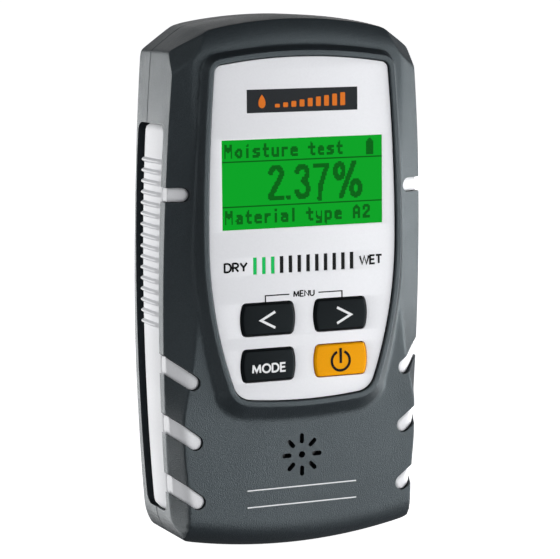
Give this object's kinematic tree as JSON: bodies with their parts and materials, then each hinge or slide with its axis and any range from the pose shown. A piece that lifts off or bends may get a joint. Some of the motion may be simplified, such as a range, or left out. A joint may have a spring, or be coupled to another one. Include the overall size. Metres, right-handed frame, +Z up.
{
  "type": "moisture meter",
  "caption": "Hand-held moisture meter with a green display, bar indicator, side grips, spring keys and a hinged battery door on the back.",
  "frame": {"origin": "centre of the bounding box's bottom face, where the lower end stands", "axes": "+Z up along the housing's length, front face with the display towards -Y, +X to the right seen from the front"},
  "size_m": [0.081, 0.0346, 0.1545],
  "materials": {
    "grey_plastic": "satin moulded plastic",
    "white_plastic": "smooth satin film",
    "white_soft": "soft white moulding",
    "black_plastic": "satin",
    "green_display": "clear window over a green display",
    "display_cell": "display cell",
    "light_guide": "diffuse light guide",
    "green_light": "lit light pipes",
    "black_key": "smooth silicone",
    "orange_key": "smooth silicone",
    "spring_metal": "bright spring steel",
    "board_green": "printed board laminate",
    "battery_case": "lacquered case",
    "foam": "foam",
    "pad_rubber": "conductive rubber",
    "flex_film": "flexible film",
    "screw_steel": "zinc plated steel"
  },
  "bodies": {
    "meter": {"front_shell": "grey_plastic", "rear_shell": "grey_plastic", "front_panel": "white_plastic", "badge_plate": "black_plastic", "display_window": "green_display", "lcd_module": "display_cell", "backlight": "light_guide", "bars_lit": "green_light", "bars_dark": "black_plastic", "key_domes": "spring_metal", "main_board": "board_green", "board_chips": "black_plastic", "buzzer": "black_plastic", "battery": "battery_case", "battery_terminals": "spring_metal", "battery_snap": "black_plastic", "sensor_pads": "pad_rubber", "sensor_board": "board_green", "sensor_link": "flex_film", "grip_left": "white_soft", "grip_right": "white_soft", "housing_screws": "screw_steel", "board_screws": "screw_steel"},
    "key_left": {"key_left": "black_key"},
    "key_right": {"key_right": "black_key"},
    "key_mode": {"key_mode": "black_key"},
    "key_power": {"key_power": "orange_key"},
    "battery_door": {"battery_door": "grey_plastic", "door_foam": "foam"}
  },
  "joints": [
    {"name": "key_left_press", "type": "slide", "parent": "meter", "child": "key_left", "axis": [0, 1, 0], "range_m": [0, 0.0008], "stiffness_N_per_m": 900},
    {"name": "key_right_press", "type": "slide", "parent": "meter", "child": "key_right", "axis": [0, 1, 0], "range_m": [0, 0.0008], "stiffness_N_per_m": 900},
    {"name": "key_mode_press", "type": "slide", "parent": "meter", "child": "key_mode", "axis": [0, 1, 0], "range_m": [0, 0.0008], "stiffness_N_per_m": 900},
    {"name": "key_power_press", "type": "slide", "parent": "meter", "child": "key_power", "axis": [0, 1, 0], "range_m": [0, 0.0008], "stiffness_N_per_m": 900},
    {"name": "battery_door_hinge", "type": "hinge", "parent": "meter", "child": "battery_door", "pos_m": [0, 0.0146, 0.0145], "axis": [-1, 0, 0], "range_deg": [0, 80]}
  ]
}
